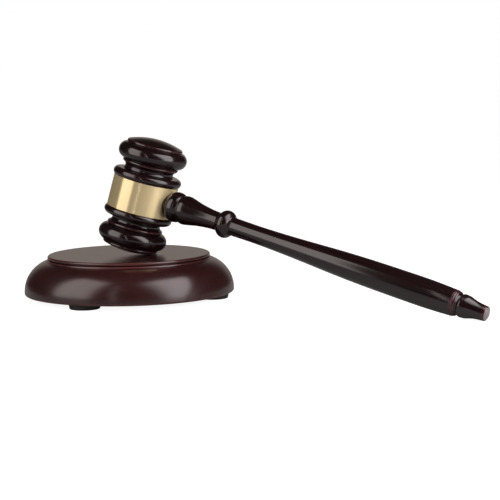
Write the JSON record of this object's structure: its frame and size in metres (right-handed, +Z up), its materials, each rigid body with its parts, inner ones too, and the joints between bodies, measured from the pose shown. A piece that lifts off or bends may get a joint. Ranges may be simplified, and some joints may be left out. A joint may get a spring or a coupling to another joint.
{
  "type": "gavel",
  "caption": "Turned wooden gavel with a brass band, domed striking faces and a ringed, swelled handle, lying with its head on a round sound block with rubber feet.",
  "frame": {"origin": "centre of the sound block's flat striking face, on the block's axis", "axes": "+Z up, square to the striking face; +X from the block's centre towards the butt of the handle, level with the desk"},
  "size_m": [0.3084, 0.131, 0.1003],
  "materials": {
    "block_wood": "dark reddish brown stain under gloss lacquer",
    "gavel_wood": "near-black stain under gloss lacquer",
    "brass": "satin, drawn round the band",
    "rubber": "matte"
  },
  "bodies": {
    "sound_block": {"sound_block": "block_wood", "foot_front": "rubber", "foot_right": "rubber", "foot_left": "rubber"},
    "gavel": {"gavel_head": "gavel_wood", "brass_band": "brass", "handle": "gavel_wood"}
  },
  "joints": [
    {"name": "strike", "type": "hinge", "parent": "sound_block", "child": "gavel", "pos_m": [0.24012, 0.00123, -0.0273], "axis": [0, 1, 0], "range_deg": [0, 45]}
  ]
}
